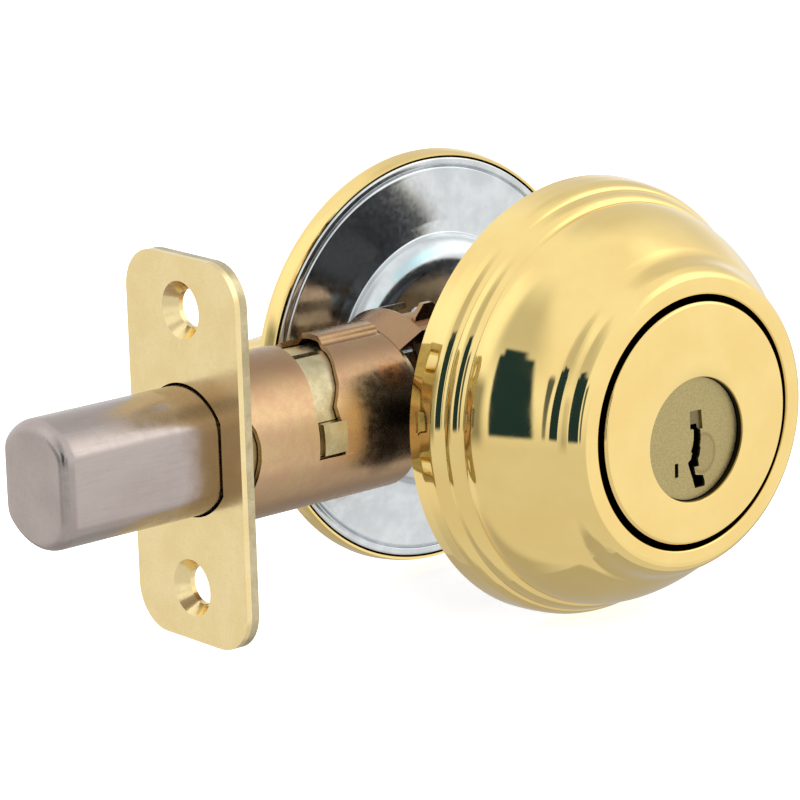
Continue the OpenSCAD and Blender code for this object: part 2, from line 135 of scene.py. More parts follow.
def cut(ob, cutters, angle=32):
    """Takes the cutters out of ob for good."""
    for c in cutters:
        m = ob.modifiers.new("cut", "BOOLEAN")
        m.operation, m.solver, m.object = "DIFFERENCE", "EXACT", c
    bake(ob)
    for c in cutters:
        bpy.data.objects.remove(c)
    tidy(ob, angle)


def bake(ob):
    """Applies the modifiers."""
    bpy.context.view_layer.update()
    deps = bpy.context.evaluated_depsgraph_get()
    mesh = bpy.data.meshes.new_from_object(ob.evaluated_get(deps))
    ob.modifiers.clear()
    ob.data = mesh


def bevel(ob, width):
    """Eases the sharp edges, as a press or a polishing wheel leaves them."""
    m = ob.modifiers.new("eased edges", "BEVEL")
    m.width, m.segments = width * MM, 2
    m.limit_method, m.angle_limit = "ANGLE", math.radians(35)
    m.harden_normals = True


def join(name, parts):
    """One object from several."""
    bm = bmesh.new()
    for p in parts:
        bm.from_mesh(p.data)
        bpy.data.objects.remove(p)
    mesh = bpy.data.meshes.new(name)
    bm.to_mesh(mesh)
    bm.free()
    ob = bpy.data.objects.new(name, mesh)
    bpy.context.scene.collection.objects.link(ob)
    mesh.shade_smooth()
    mesh.set_sharp_from_angle(angle=math.radians(32))
    return ob


def piece(ob, paint, body, slot, *nodes):
    """Gives a finished piece its material and its body, and hides the CAD nodes that it stands for."""
    ob.data.materials.clear()
    ob.data.materials.append(paint)
    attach(ob, body)
    if nodes:
        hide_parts(*nodes)
    return ob


# ---------------------------------------------------------------- materials


class Paint:
    """Builds a node material; every pattern is in millimetres of the piece's own frame."""

    def __init__(self, name, **values):
        self.mat = bpy.data.materials.new(name)
        self.mat.use_nodes = True
        self.tree = self.mat.node_tree
        self.bsdf = self.tree.nodes["Principled BSDF"]
        for key, value in values.items():
            self.bsdf.inputs[key.replace("_", " ")].default_value = value
        self.mm = self.node("ShaderNodeVectorMath", operation="MULTIPLY")
        self.mm.inputs[1].default_value = (1000, 1000, 1000)
        self.link(self.node("ShaderNodeTexCoord").outputs["Object"], self.mm.inputs[0])
        self.heights = []

    def node(self, kind, **props):
        """A new node with its properties set."""
        made = self.tree.nodes.new(kind)
        for key, value in props.items():
            setattr(made, key, value)
        return made

    def link(self, a, b):
        """Joins an output to an input."""
        self.tree.links.new(a, b)

    def noise(self, size, detail, stretch=(1, 1, 1), warp=0.0):
        """Noise with features about size mm across, stretched along an axis if asked."""
        m = self.node("ShaderNodeMapping")
        m.inputs["Scale"].default_value = tuple(1 / (size * s) for s in stretch)
        self.link(self.mm.outputs[0], m.inputs["Vector"])
        t = self.node("ShaderNodeTexNoise")
        t.inputs["Scale"].default_value = 1
        t.inputs["Detail"].default_value = detail
        t.inputs["Roughness"].default_value = 0.55
        t.inputs["Distortion"].default_value = warp
        self.link(m.outputs[0], t.inputs["Vector"])
        return t.outputs["Fac"]

    def span(self, value, lo, hi, a=0.0, b=1.0):
        """Maps lo..hi of a value smoothly to a..b."""
        m = self.node("ShaderNodeMapRange", interpolation_type="SMOOTHSTEP")
        for key, number in (("From Min", lo), ("From Max", hi), ("To Min", a), ("To Max", b)):
            m.inputs[key].default_value = number
        self.link(value, m.inputs["Value"])
        return m.outputs["Result"]

    def along(self, axis):
        """The x, y or z of a point, in millimetres."""
        s = self.node("ShaderNodeSeparateXYZ")
        self.link(self.mm.outputs[0], s.inputs[0])
        return s.outputs["XYZ".index(axis)]

    def away(self, centre, stretch=(1, 1, 1)):
        """Distance from a point, in millimetres over the stretch."""
        d = self.node("ShaderNodeVectorMath", operation="SUBTRACT")
        d.inputs[1].default_value = centre
        self.link(self.mm.outputs[0], d.inputs[0])
        s = self.node("ShaderNodeVectorMath", operation="DIVIDE")
        s.inputs[1].default_value = stretch
        self.link(d.outputs[0], s.inputs[0])
        n = self.node("ShaderNodeVectorMath", operation="LENGTH")
        self.link(s.outputs[0], n.inputs[0])
        return n.outputs["Value"]

    def sums(self, a, b, op="ADD"):
        """A sum, product or other of two values, each a number or a socket."""
        m = self.node("ShaderNodeMath", operation=op)
        for socket, value in zip(m.inputs, (a, b)):
            if isinstance(value, (int, float)):
                socket.default_value = value
            else:
                self.link(value, socket)
        return m.outputs[0]

    def blend(self, amount, a, b):
        """Mixes two colours, each a colour or a socket."""
        m = self.node("ShaderNodeMix", data_type="RGBA")
        if isinstance(amount, (int, float)):
            m.inputs["Factor"].default_value = amount
        else:
            self.link(amount, m.inputs["Factor"])
        for socket, value in ((m.inputs[6], a), (m.inputs[7], b)):
            if isinstance(value, tuple):
                socket.default_value = (*value, 1)
            else:
                self.link(value, socket)
        return m.outputs[2]

    def colour(self, socket):
        """Sets the base colour."""
        self.link(socket, self.bsdf.inputs["Base Color"])

    def roughness(self, socket):
        """Sets the roughness."""
        self.link(socket, self.bsdf.inputs["Roughness"])

    def relief(self, socket, depth):
        """Adds a height pattern of that depth in millimetres."""
        b = self.node("ShaderNodeBump")
        b.inputs["Strength"].default_value = 1
        b.inputs["Distance"].default_value = depth * MM
        self.link(socket, b.inputs["Height"])
        if self.heights:
            self.link(self.heights[-1], b.inputs["Normal"])
        self.heights.append(b.outputs["Normal"])
        self.link(b.outputs["Normal"], self.bsdf.inputs["Normal"])


def polished_brass():
    """Lacquered brass: nearly a mirror, with a faint orange peel and cloudy polish, and painted shade in the gap round
    the cylinder's face, in the plug's hole and inside the housing.
    """
    p = Paint("polished_brass", Metallic=1.0, Coat_Weight=0.25, Coat_Roughness=0.03)
    cloud = p.noise(9, 3)
    tone = p.blend(p.span(cloud, 0.3, 0.7), (0.95, 0.705, 0.27), (0.985, 0.76, 0.305))
    # Painted shade deep in the narrow gap between the cylinder's face and the housing's lip
    out = p.away((0, 0, 0), (1, 1e6, 1))
    gap_shade = p.sums(p.span(out, 17.8, 17.9), p.span(out, 19.1, 19.3, 1, 0), "MULTIPLY")
    gap_shade = p.sums(gap_shade, p.span(p.along("Y"), -42.35, -41.9), "MULTIPLY")
    gap_shade = p.sums(gap_shade, p.span(p.along("Y"), -36, -35, 1, 0), "MULTIPLY")
    tone = p.blend(gap_shade, tone, (0.030, 0.024, 0.010))
    # Painted shade on the walls of the hole round the plug, from just behind the face inwards
    plug_hole_shade = p.span(p.away((0, 0, AXIS_Z), (1, 1e6, 1)), 9.6, 9.8, 1, 0)
    plug_hole_shade = p.sums(plug_hole_shade, p.span(p.along("Y"), -42.75, -42.5), "MULTIPLY")
    plug_hole_shade = p.sums(plug_hole_shade, p.span(p.along("Y"), -38, -37, 1, 0), "MULTIPLY")
    tone = p.blend(plug_hole_shade, tone, (0.012, 0.011, 0.008))
    # Painted shade, dark grey, on the back of the cylinder's flange and inside the housing
    hidden_shade = p.sums(p.span(out, 28, 30.5, 1, 0), p.span(p.along("Y"), -27, -25), "MULTIPLY")
    rear = p.sums(p.span(out, 32.3, 32.7, 1, 0), p.span(p.along("Y"), -21.5, -20.5), "MULTIPLY")
    hidden_shade = p.sums(p.sums(hidden_shade, rear, "MAXIMUM"), p.span(p.along("Y"), -11, -10, 1, 0), "MULTIPLY")
    p.colour(p.blend(hidden_shade, tone, (0.09, 0.09, 0.088)))
    p.roughness(p.span(p.noise(3.5, 4), 0.3, 0.75, 0.035, 0.085))
    p.relief(p.noise(2.2, 2), 0.0022)
    p.relief(p.noise(0.12, 1), 0.0004)
    return p.mat


def satin_brass():
    """Pressed and plated brass strip, with a fine mottle."""
    p = Paint("satin_brass", Metallic=1.0)
    fine = p.noise(0.35, 3)
    tone = p.blend(p.span(p.noise(6, 3), 0.3, 0.7), (0.92, 0.735, 0.37), (0.97, 0.80, 0.44))
    p.colour(p.blend(p.span(fine, 0.4, 0.8, 0, 0.25), tone, (0.78, 0.60, 0.28)))
    p.roughness(p.span(p.noise(1.2, 4), 0.3, 0.7, 0.13, 0.22))
    p.relief(fine, 0.0014)
    p.relief(p.noise(1.6, 2), 0.006)
    return p.mat


def plug_brass():
    """Blasted face of the plug, with the ring that the tail screw's punch leaves, and painted shade in the keyway and
    round the plug's edge.
    """
    p = Paint("plug_brass", Metallic=1.0)
    grain = p.noise(0.16, 2)
    tone = p.blend(p.span(grain, 0.35, 0.7), (0.42, 0.345, 0.155), (0.60, 0.50, 0.25))
    ring = p.away((2.2, -41.8, AXIS_Z - 2.6), (2.5, 2.5, 3.1))
    mark = p.sums(p.span(ring, 0.78, 0.92), p.span(ring, 0.95, 1.08, 1, 0), "MULTIPLY")
    tone = p.blend(p.sums(mark, 0.45, "MULTIPLY"), tone, (0.24, 0.17, 0.07))
    tone = p.blend(p.span(ring, 0.85, 1.0, 0.22, 0), tone, (0.30, 0.22, 0.09))
    # Painted shade: near black deep in the keyway and round the plug's edge
    keyway_shade = p.span(p.along("Y"), -41.6, -41.2)
    plug_edge_shade = p.span(p.away((0, 0, AXIS_Z), (1, 1e6, 1)), 8.98, 9.14)
    p.colour(p.blend(p.sums(keyway_shade, plug_edge_shade, "MAXIMUM"), tone, (0.010, 0.012, 0.012)))
    p.roughness(p.span(grain, 0.3, 0.7, 0.36, 0.5))
    p.relief(grain, 0.012)
    return p.mat


def bolt_metal():
    """Satin plated bolt, warmer and darker brown towards the faceplate."""
    p = Paint("bolt_metal", Metallic=1.0)
    streak = p.noise(0.5, 3, stretch=(14, 1, 1))
    cloud = p.noise(9, 2, stretch=(2, 1, 1))
    tone = p.blend(p.span(cloud, 0.3, 0.7), (0.46, 0.395, 0.375), (0.51, 0.445, 0.425))
    # Darker brown towards the faceplate, with a ragged edge
    towards_plate = p.span(p.sums(p.along("X"), p.sums(p.noise(3, 3), 7, "MULTIPLY"), "ADD"), -64.5, -59.5, 0, 0.65)
    tone = p.blend(towards_plate, tone, (0.31, 0.215, 0.15))
    p.colour(p.blend(p.span(streak, 0.45, 0.8, 0, 0.25), tone, (0.33, 0.29, 0.28)))
    p.roughness(p.span(p.noise(1.4, 4), 0.3, 0.7, 0.2, 0.3))
    p.relief(streak, 0.0015)
    p.relief(p.noise(0.22, 2), 0.0022)
    return p.mat


def bronze_zinc():
    """Yellow-bronze passivated steel: grainy, drifting from pink to gold, with painted shade above and below and in
    dark patches towards the rear, and an orange patch there.
    """
    p = Paint("bronze_zinc", Metallic=1.0)
    drift = p.noise(7, 3, warp=0.6)
    tone = p.blend(p.span(drift, 0.35, 0.65), (0.60, 0.385, 0.23), (0.64, 0.46, 0.25))
    grain = p.noise(0.2, 2)
    tone = p.blend(p.span(grain, 0.45, 0.8, 0, 0.3), tone, (0.42, 0.26, 0.16))
    wave = p.sums(p.noise(2.6, 4), 0.9, "MULTIPLY")
    # Painted shade: darker above and below the middle of the tube, as the light falls
    top_bottom_shade = p.sums(p.span(p.along("Z"), 4.5, 11), p.span(p.along("Z"), -10, -1.5, 1, 0), "MAXIMUM")
    tone = p.blend(p.sums(top_bottom_shade, 0.62, "MULTIPLY"), tone, (0.30, 0.165, 0.088))
    # Painted shade: dark patches towards the rear, next to the back of the exterior housing
    dark = p.span(p.sums(p.away((-30.6, -11.6, 2.0), (4.2, 6, 2.4)), wave, "ADD"), 0.8, 1.6, 0.66, 0)
    low = p.span(p.sums(p.away((-32.8, -11, -4.5), (2.8, 6, 3.6)), wave, "ADD"), 0.8, 1.7, 0.5, 0)
    glow = p.span(p.sums(p.away((-29.4, -9.6, 6.8), (3.2, 3.4, 2.4)), wave, "ADD"), 0.8, 1.5, 0.7, 0)
    tone = p.blend(p.sums(dark, low, "MAXIMUM"), tone, (0.075, 0.045, 0.035))
    tone = p.blend(glow, tone, (0.66, 0.27, 0.08))
    p.colour(tone)
    p.roughness(p.span(p.noise(1.1, 4), 0.3, 0.7, 0.22, 0.32))
    p.relief(grain, 0.0028)
    p.relief(p.noise(1.8, 2), 0.005)
    return p.mat


def pale_zinc():
    """Pale yellow zinc of the sleeve."""
    p = Paint("sleeve_zinc", Metallic=1.0)
    tone = p.blend(p.span(p.noise(3, 4), 0.3, 0.7), (0.50, 0.43, 0.25), (0.66, 0.58, 0.38))
    p.colour(p.blend(p.span(p.noise(0.3, 2), 0.5, 0.8, 0, 0.4), tone, (0.36, 0.28, 0.15)))
    p.roughness(p.span(p.noise(0.9, 3), 0.3, 0.7, 0.25, 0.4))
    p.relief(p.noise(0.25, 2), 0.0025)
    return p.mat


def bright_zinc():
    """Bright zinc on pressed steel, with a fine spangle and a painted teal reflection round the boss."""
    p = Paint("bright_zinc", Metallic=1.0)
    tone = p.blend(p.span(p.noise(5, 3), 0.3, 0.7), (0.62, 0.66, 0.69), (0.76, 0.80, 0.83))
    spangle = p.noise(0.22, 2)
    tone = p.blend(p.span(spangle, 0.5, 0.8, 0, 0.2), tone, (0.45, 0.48, 0.51))
    # Painted reflection: a teal sheen in a ring round the boss's shoulder
    out = p.away((0, 0, 0), (1, 1e6, 1))
    teal_reflection = p.sums(p.span(out, 17.0, 17.8), p.span(out, 18.2, 19.0, 1, 0), "MULTIPLY")
    teal_reflection = p.sums(teal_reflection, p.span(p.noise(9, 2), 0.45, 0.62, 0, 0.55), "MULTIPLY")
    p.colour(p.blend(teal_reflection, tone, (0.38, 0.72, 0.80)))
    p.roughness(p.span(p.noise(0.8, 3), 0.3, 0.7, 0.13, 0.2))
    p.relief(spangle, 0.0007)
    return p.mat


def plain_steel(name, dark, light, low, high):
    """Bare or blackened steel with fine drawing lines."""
    p = Paint(name, Metallic=1.0)
    lines = p.noise(0.3, 3, stretch=(8, 1, 1))
    p.colour(p.blend(p.span(lines, 0.3, 0.7), dark, light))
    p.roughness(p.span(p.noise(1, 3), 0.3, 0.7, low, high))
    p.relief(lines, 0.004)
    return p.mat


def dark_zinc():
    """Blackened die-cast zinc with a soft pebble."""
    p = Paint("dark_zinc", Metallic=0.6)
    pebble = p.noise(0.45, 3)
    p.colour(p.blend(p.span(pebble, 0.3, 0.7), (0.02, 0.02, 0.022), (0.05, 0.05, 0.055)))
    p.roughness(p.span(p.noise(2, 3), 0.3, 0.7, 0.45, 0.6))
    p.relief(pebble, 0.02)
    return p.mat


def nylon():
    """Natural nylon, a little see-through at its edges."""
    p = Paint("clear_nylon", Metallic=0.0, Subsurface_Weight=0.2, Subsurface_Scale=0.001)
    p.colour(p.blend(p.span(p.noise(1.5, 3), 0.3, 0.7), (0.78, 0.77, 0.70), (0.86, 0.85, 0.80)))
    p.roughness(p.span(p.noise(0.6, 3), 0.3, 0.7, 0.4, 0.55))
    p.relief(p.noise(0.3, 2), 0.006)
    return p.mat


PAINTS = {
    "polished_brass": polished_brass(), "satin_brass": satin_brass(), "plug_brass": plug_brass(),
    "bolt_metal": bolt_metal(), "bronze_zinc": bronze_zinc(), "sleeve_zinc": pale_zinc(),
    "bright_zinc": bright_zinc(), "dark_zinc": dark_zinc(), "clear_nylon": nylon(),
    "spring_steel": plain_steel("spring_steel", (0.33, 0.34, 0.35), (0.5, 0.51, 0.52), 0.2, 0.32),
    "hard_steel": plain_steel("hard_steel", (0.1, 0.1, 0.105), (0.2, 0.2, 0.21), 0.3, 0.42),
}
SLOTS = {s["node"]: s["material_slot"] for s in frame["record"]["subparts"]}
EASED = {
    "cylinder_plug": 0.04, "backplate": 0.12, "faceplate": 0.22,
    "case_plate_outer": 0.1, "case_plate_inner": 0.1, "case_bridge": 0.18, "drive_hub": 0.15,
    "torque_blade": 0.12, "tail_plates": 0.1, "inner_sleeve": 0.1, "backset_stud": 0.5, "housing_ring": 0.3,
    "mounting_screws": 0.1, "turn_spindle": 0.12, "turn_washer": 0.15, "turn_clip": 0.1, "tail_pin": 0.15,
    "detent_spring": 0.06, "case_spacers": 0.1, "saw_pin": 0.2, "tail_rivets": 0.1, "plug_clip": 0.1,
    "turn_cross_pin": 0.15, "key_pins": 0.1, "pin_springs": 0.05, "wafers": 0.05, "side_bar": 0.08,
    "side_bar_springs": 0.05,
}
for node, width in EASED.items():
    ob = frame["nodes"][node]
    ob.data.materials.clear()
    ob.data.materials.append(PAINTS[SLOTS[node]])
    bevel(ob, width)

# ---------------------------------------------------------------- exterior trim

outside = [(HOUSING_R, SEAT), (HOUSING_R - 0.1, SEAT + 2), (32.66, 21.5), (32.42, 22.2), (32.1, 22.85),
           (31.86, 23.18), (31.62, 23.3)]
outside += [(31.48, 23.45), (31.46, 23.75), (31.34, 24.3), (31.12, 24.82), (30.84, 25.3), (30.5, 25.68), (30.2, 25.82)]
outside += [(30.08, 25.95)] + curve((30.06, 26.25), (30.2, 28.7), (27.6, 33.3), (24.95, 36.7), 40)
# Ogee step up to the lip round the cylinder's face
outside += [(24.45, 37.28), (24.13, 37.7), (23.85, 38.15), (23.59, 38.68), (23.37, 39.25), (23.2, 39.73), (23.03, 40.2),
            (22.8, 40.7), (22.5, 41.2), (22.25, 41.6), (21.95, 41.95), (21.4, 42.28), (20.6, 42.42), (19.5, 42.42)]
outside += arc((19.25, 42.04), 0.38, 84, 180, 8) + [(18.87, 40.2)]
inside = [(21.2, 39.5), (21.9, 38.2), (22.8, 36.8), (25.4, 33.6), (27.6, 30), (28.5, 27.4), (28.9, 25.5), (30.0, 23),
          (30.6, 21.5), (HOUSING_R - 1.6, SEAT)]
housing = lathe("housing_shell", soften(outside, 0.1, 2) + soften(inside, 1.0, 1), -1)
piece(housing, PAINTS["polished_brass"], "lock_case", "polished_brass", "exterior_housing")

# Face of the cylinder, whose plug sits below the middle, with its body, flange and posts
around = [(math.cos(t), math.sin(t)) for t in np.linspace(0, 2 * math.pi, SEGMENTS, endpoint=False)]
rings = [(17.55, -42.9, 0), (17.61, -42.88, 0), (17.9, -42.62, 0), (17.95, -42.5, 0), (17.95, -38.2, 0),
         (15.4, -38.2, 0),
         (15.4, -24, 0), (26.6, -24, 0), (26.6, -20.6, 0), (8.45, -20.6, 1), (8.45, -39.4, 1), (9.25, -39.4, 1),
         (9.25, -42.65, 1), (9.32, -42.83, 1), (9.45, -42.9, 1), (13.2, -42.9, 0.5)]
face = loft("cylinder_face", [[(r * c, y, r * s + AXIS_Z * low) for c, s in around] for r, y, low in rings], wrap=True,
            angle=20)
posts = []
for x in (-SCREW_X, SCREW_X):
    bore = [[(x + r * c, y, r * s) for c, s in around[::4]]
            for r, y in ((4, -21), (4, -11.5), (2.1, -11.5), (2.1, -21))]
    posts.append(loft("post", bore, wrap=True))
face = join("cylinder_face", [face] + posts)
piece(face, PAINTS["polished_brass"], "lock_case", "polished_brass", "cylinder_housing")

# ---------------------------------------------------------------- bolt


def bolt_loop(x, inset, n=160):
    """Round section with two flats and softened corners, drawn in by inset."""
    radius, half = 9.525 - inset, 7.94 - inset
    points = []
    for t in np.linspace(0, 2 * math.pi, n, endpoint=False):
        flat = half / max(abs(math.cos(t)), 1e-3)
        r = (radius ** -34 + flat ** -34) ** (-1 / 34)
        points.append((x, r * math.cos(t), r * math.sin(t)))
    return points


TIP = -87.325
rounding = [bolt_loop(TIP + 2.1 * (1 - math.sin(t)), 2.1 * (1 - math.cos(t)) + 0.0) for t in
            np.radians(np.linspace(90, 0, 13))]
shrink = [bolt_loop(TIP, 2.1 + k) for k in (5.2, 2.6, 0.9)]
body = [bolt_loop(x, 0) for x in (-84, -80, -74, -68, -64, -62, -60, -56, -52, -50)]
end = [bolt_loop(-49.325, 0.5)]
bolt = loft("bolt_bar", shrink + rounding + body + end, angle=50)
piece(bolt, PAINTS["bolt_metal"], "bolt_body", "bolt_metal", "bolt")

# ---------------------------------------------------------------- latch tube


def on_tube(angle, r):
    """(y, z) at an angle from the top, positive towards the outside of the house."""
    a = math.radians(angle)
    return -r * math.sin(a), r * math.cos(a)


def bead(angle):
    """How far the lapped seam stands out of the tube at an angle."""
    up = 1 / (1 + math.exp((abs(angle) - 9.5) * 1.2))
    valley = 0.12 * math.exp(-((angle - 13) / 2.2) ** 2)
    return 0.85 * up - valley


def tube_loop(x, r, lapped, n=360):
    """The tube's section at x, with the lapped seam on top if asked."""
    points = []
    for k in range(n):
        angle = 360 * k / n
        angle -= 360 if angle > 180 else 0
        y, z = on_tube(angle, r + (bead(angle) if lapped else 0))
        points.append((x, y, z))
    return points


def tube_opening(front, rear):
    """A cutter through the tube's wall between two edges, each a list of (angle, x) in rising order of angle."""
    first, last = front[0][0], front[-1][0]
    loops = []
    for a in np.linspace(first, last, round((last - first) / 1.5) + 1):
        x0, x1 = (float(np.interp(a, *zip(*edge))) for edge in (front, rear))
        loops.append([(x, *on_tube(a, r)) for x, r in ((x0, 9.4), (x1, 9.4), (x1, 15), (x0, 15))])
    return loft("cutter", loops)


outer = [tube_loop(x, TUBE_OUTER, False) for x in (-59.2, -58.1, -52, -46, -42, -38.2)]
outer += [tube_loop(x, TUBE_OUTER, True) for x in (-38.1, -34, -30, -26.0)]
inner = [tube_loop(x, TUBE_INNER, True) for x in (-26.0, -30, -34, -38.1)]
inner += [tube_loop(x, TUBE_INNER, False) for x in (-38.2, -42, -46, -52, -58.1, -59.2)]
tube = loft("latch_tube_shell", outer + inner, wrap=True)
front = [(-40, -42.6), (0, -42.8), (15, -43.3), (30, -43.8), (50, -44.5), (63, -45.1), (80, -45.3), (101, -45.35)]
rear = [(-40, -38.6), (-24, -38.4), (-17, -37.7), (-8, -37.0), (4, -36.7), (12, -36.6), (20, -36.9), (30, -37.6),
        (42, -38.7), (51, -39.3), (60, -40.4), (66, -41.2), (74, -41.1), (79, -40.65), (89, -40.6), (101, -40.5)]
notch = [(58, -57.9), (62, -57.0), (70, -56.3), (80, -56.0), (92, -56.15), (103, -56.6), (116, -57.4), (122, -58.0)]
cut(tube, [tube_opening(front, rear), tube_opening([(58, -62), (122, -62)], notch)])
bevel(tube, 0.14)
piece(tube, PAINTS["bronze_zinc"], "lock_case", "bronze_zinc", "latch_tube")

# ---------------------------------------------------------------- interior trim

rose_out = [(31.85, SEAT + 0.1), (31.95, SEAT + 0.25), (32.15, SEAT + 0.95), (32.42, 20.06), (32.3, 20.6),
            (31.65, 21.25), (30.95, 21.85), (30.2, 22.4)]
rose_out += curve((29.9, 22.65), (27.7, 25.0), (25.6, 30.4), (20.5, 30.75), 30)
rose_out += [(17.6, 30.95), (16.4, 31.15), (4, 31.2)]
rose_in = [(4, 29.7), (16, 29.7), (20, 29.4)] + curve((20.4, 29.3), (24.6, 28.6), (26.6, 24.2), (28.7, 22), 10)
rose_in += [(29.6, 21.4), (29.9, SEAT + 2.6), (31.5, SEAT + 2.5), (31.5, SEAT + 0.2)]
rose = lathe("rose_shell", soften(rose_out, 0.3, 2) + soften(rose_in, 0.8, 1), 1)
cut(rose, [rod_y(7.05, 25, 34, 0, AXIS_Z)] + [rod_y(4.5, 30 + MOVE, 34, x) for x in (-SCREW_X, SCREW_X)]
    + [rod_y(2.4, 22, 34, x) for x in (-SCREW_X, SCREW_X)])
piece(rose, PAINTS["polished_brass"], "lock_case", "polished_brass", "interior_rose")

front = [(31.25, SEAT + 2.4), (31.25, SEAT + 0.25), (31.1, SEAT + 0.05), (30.9, SEAT), (30.2, SEAT),
         (30.08, SEAT + 0.1), (30.02, SEAT + 0.5), (29.88, SEAT + 0.5), (29.8, SEAT + 0.12), (29.6, SEAT),
         (29.2, SEAT - 0.02), (21.6, SEAT - 0.8), (20.5, SEAT - 1.0), (19.75, SEAT - 1.15), (19.62, SEAT - 1.6)]
front += arc((15.4, SEAT - 0.2), 4.55, -20, -84, 16) + [(14, SEAT - 4.75), (9.2, SEAT - 4.75)]
behind = [(9.2, SEAT - 3.75), (14.4, SEAT - 3.75)] + arc((15.4, SEAT - 0.2), 3.5, -90, -24, 12)
behind += [(19.4, SEAT - 0.7), (21.4, SEAT + 0.3), (29.3, SEAT + 1), (30.35, SEAT + 1.3), (30.4, SEAT + 2.4)]
plate = lathe("mounting_dish", soften(front, 0.12, 2) + soften(behind, 0.5, 1), 1)
slots = []
for x in (-SCREW_X, SCREW_X):
    stadium = [(x + 2.7 * math.cos(t), (3.2 if math.sin(t) >= 0 else -3.2) + 2.7 * math.sin(t))
               for t in np.linspace(0, 2 * math.pi, 48, endpoint=False)]
    slots.append(loft("cutter", [[(a, y, b) for a, b in stadium] for y in (8, 21)]))
tab = [(-2, -22.0), (2, -22.0), (2, -20.2), (-2, -20.2)]
slots.append(loft("cutter", [[(a, y, b) for a, b in tab] for y in (12, 20)]))
cut(plate, slots)
piece(plate, PAINTS["bright_zinc"], "lock_case", "bright_zinc", "mounting_plate")

# ---------------------------------------------------------------- thumb turn


def wing_loop(y, a, b, n, count=64):
    """A superellipse of half-length a, half-thickness b and squareness n."""
    points = []
    for t in np.linspace(0, 2 * math.pi, count, endpoint=False):
        c, s = math.cos(t), math.sin(t)
        across, up = (k * math.copysign(abs(v) ** (2 / n), v) for k, v in ((a, c), (b, s)))
        points.append((across, y + MOVE, AXIS_Z + up))
    return points


wing = loft("wing", [wing_loop(*w) for w in (
    (37.0, 7.0, 6.6, 2.0), (38.6, 8.0, 6.1, 2.0), (40.4, 10.2, 5.2, 2.0), (42.4, 12.6, 4.2, 2.1),
    (44.6, 14.4, 3.4, 2.2), (46.8, 15.3, 2.8, 2.3), (48.8, 15.6, 2.45, 2.4), (50.0, 15.3, 2.2, 2.4),
    (50.8, 14.6, 1.6, 2.3), (51.1, 13.2, 0.8, 2.2))], angle=70)
foot = [(4, 31.7), (11.3, 31.7)] + arc((10.6, 32.6), 0.9, -20, 90) + arc((10.6, 36.4), 2.9, 270, 190)
foot += [(7.4, 38.4), (6.6, 39.6), (4, 40)]
foot = lathe("foot", soften(foot, 0.25, 2) + [(4, 36)], 1, AXIS_Z, 128)
turn = join("thumb_turn_grip", [wing, foot])
piece(turn, PAINTS["polished_brass"], "thumb_turn_body", "polished_brass", "thumb_turn")

# ---------------------------------------------------------------- studio


def floor():
    """Large pale floor just under the lock."""
    ring = [[(r * math.cos(t), r * math.sin(t), -33.4) for t in np.linspace(0, 2 * math.pi, 64, endpoint=False)]
            for r in (40, 400, 5000)]
    ob = loft("studio_floor", ring, caps=False)
    bm = bmesh.new()
    bm.from_mesh(ob.data)
    bmesh.ops.contextual_create(bm, geom=[e for e in bm.edges if e.is_boundary and e.calc_length() < 0.02])
    bmesh.ops.recalc_face_normals(bm, faces=bm.faces)
    for f in bm.faces:
        if f.normal.z < 0:
            f.normal_flip()
    bm.to_mesh(ob.data)
    bm.free()
    ob.visible_glossy = False
    p = Paint("studio_floor", Metallic=0.0, Roughness=0.9, Emission_Strength=0.7)
    p.bsdf.inputs["Emission Color"].default_value = (1, 1, 1, 1)
    p.bsdf.inputs["Specular IOR Level"].default_value = 0.1
    p.colour(p.blend(p.span(p.noise(400, 2), 0.3, 0.7), (0.86, 0.86, 0.86), (0.88, 0.88, 0.88)))
    ob.data.materials.append(p.mat)


floor()

world = bpy.data.worlds.new("studio")
bpy.context.scene.world = world
world.use_nodes = True
tree = world.node_tree
back = tree.nodes["Background"]


def wnode(kind, **props):
    """A new node of the surroundings."""
    made = tree.nodes.new(kind)
    for key, value in props.items():
        setattr(made, key, value)
    return made


def wmath(op, a, b=None):
    """One step of arithmetic on numbers or sockets."""
    m = wnode("ShaderNodeMath", operation=op)
    for socket, value in zip(m.inputs, (a, b)):
        if isinstance(value, (int, float)):
            socket.default_value = value
        elif value is not None:
            tree.links.new(value, socket)
    return m.outputs[0]


def band(value, lo, hi, soft):
    """1 inside lo..hi with soft edges."""
    total = None
    for edge, sign in ((lo, 1), (hi, -1)):
        m = wnode("ShaderNodeMapRange", interpolation_type="SMOOTHSTEP")
        m.inputs["From Min"].default_value = edge - soft
        m.inputs["From Max"].default_value = edge + soft
        m.inputs["To Min"].default_value = 0 if sign > 0 else 1
        m.inputs["To Max"].default_value = 1 if sign > 0 else 0
        tree.links.new(value, m.inputs["Value"])
        total = m.outputs[0] if total is None else wmath("MULTIPLY", total, m.outputs[0])
    return total


split = wnode("ShaderNodeSeparateXYZ")
tree.links.new(wnode("ShaderNodeTexCoord").outputs["Generated"], split.inputs[0])
bearing = wmath("DEGREES", wmath("ARCTAN2", split.outputs[0], wmath("MULTIPLY", split.outputs[1], -1)))
rise = wmath("DEGREES", wmath("ARCSINE", split.outputs[2]))


def patch(b0, b1, r0, r1, soft_b, soft_r):
    """A soft-edged patch of the surroundings, by bearing and rise in degrees."""
    return wmath("MULTIPLY", band(bearing, b0, b1, soft_b), band(rise, r0, r1, soft_r))


def wblend(amount, a, b):
    """Mixes two colours, each a colour or a socket."""
    m = wnode("ShaderNodeMix", data_type="RGBA")
    tree.links.new(amount, m.inputs["Factor"])
    for socket, value in ((m.inputs[6], a), (m.inputs[7], b)):
        if isinstance(value, tuple):
            socket.default_value = (*value, 1)
        else:
            tree.links.new(value, socket)
    return m.outputs[2]


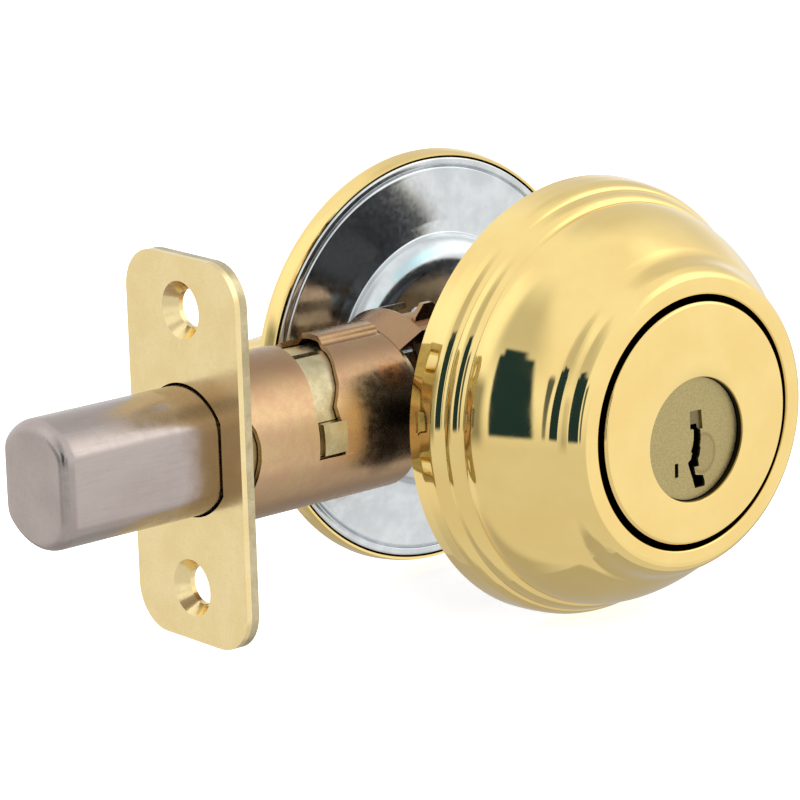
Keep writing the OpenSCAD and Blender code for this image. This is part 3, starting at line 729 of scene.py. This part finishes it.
# The studio as the polished metal sees it: strength, place and shade of each card and light
DARK_CARD = (0.015, 0.042, 0.07)
sky = wblend(band(rise, -6, 100, 12), (0.72, 0.71, 0.69), (0.98, 0.98, 0.97))
for amount, spot, shade in (
        (0.60, patch(-98, -62, 26, 66, 9, 14), (0.34, 0.34, 0.33)),
        (0.90, patch(8, 84, -34, 8, 12, 10), (1.0, 0.985, 0.96)),
        (0.80, patch(-172, -128, -40, 2, 8, 8), (0.88, 0.86, 0.83)),
        (0.90, patch(-150, -106, 22, 64, 12, 10), (1.18, 1.17, 1.14)),
        (1.00, patch(26, 84, 18, 56, 14, 12), (1.65, 1.62, 1.55)),
        (0.45, patch(104, 150, 10, 70, 14, 14), (0.45, 0.45, 0.44)),
        (0.55, patch(98, 190, -95, -22, 14, 8), (0.28, 0.26, 0.23)),
        (0.45, patch(-190, -132, -82, -48, 14, 10), (0.20, 0.18, 0.15)),
        (0.80, patch(-124, -97, -14, 16, 6, 5), (0.16, 0.17, 0.14)),
        (1.00, patch(-89.5, -65.5, -10, 30.5, 1.2, 1.5), DARK_CARD),
        (1.00, patch(-86, -70, 28, 34, 2, 1), DARK_CARD),
        (0.90, patch(-57, -45, -10, 22, 2, 2), DARK_CARD)):
    sky = wblend(wmath("MULTIPLY", spot, amount), sky, shade)
path = wnode("ShaderNodeLightPath")
# Plain white for everything but reflections
sky = wblend(wmath("SUBTRACT", 1, path.outputs["Is Glossy Ray"]), sky, (1.0, 1.0, 1.0))
tree.links.new(sky, back.inputs["Color"])
back.inputs["Strength"].default_value = 1.0


def softbox(name, where, look, size, power):
    """A large rectangular studio light."""
    data = bpy.data.lights.new(name, "AREA")
    data.shape, data.size, data.size_y, data.energy = "RECTANGLE", size[0], size[1], power
    ob = bpy.data.objects.new(name, data)
    ob.location = where
    ob.rotation_euler = (Vector(look) - Vector(where)).to_track_quat("-Z", "Y").to_euler()
    ob.visible_camera = ob.visible_glossy = False
    bpy.context.scene.collection.objects.link(ob)


softbox("key_softbox", (-0.35, -0.75, 0.95), (0, 0, 0), (0.7, 0.7), 4)
softbox("top_softbox", (0.1, 0.1, 1.1), (0, 0, 0), (0.9, 0.9), 4)

# ---------------------------------------------------------------- camera

azimuth, height, tilt = math.radians(-40.01), math.radians(14.47), math.radians(-1.76)
back_axis = Vector((math.sin(azimuth) * math.cos(height), -math.cos(azimuth) * math.cos(height), math.sin(height)))
right = Vector((0, 0, 1)).cross(back_axis).normalized()
up = back_axis.cross(right)
right, up = (right * math.cos(tilt) + up * math.sin(tilt), up * math.cos(tilt) - right * math.sin(tilt))
camera = bpy.data.objects.new("camera", bpy.data.cameras.new("camera"))
camera.data.lens, camera.data.sensor_width = 198.65, 36
camera.data.clip_start, camera.data.clip_end = 0.05, 20
turned = Matrix((right, up, back_axis)).transposed().to_4x4()
camera.matrix_world = Matrix.Translation((-0.43018, -0.48868, 0.16441)) @ turned
bpy.context.scene.collection.objects.link(camera)
bpy.context.scene.camera = camera
bpy.context.scene.view_settings.view_transform = "Standard"

bpy.context.view_layer.update()
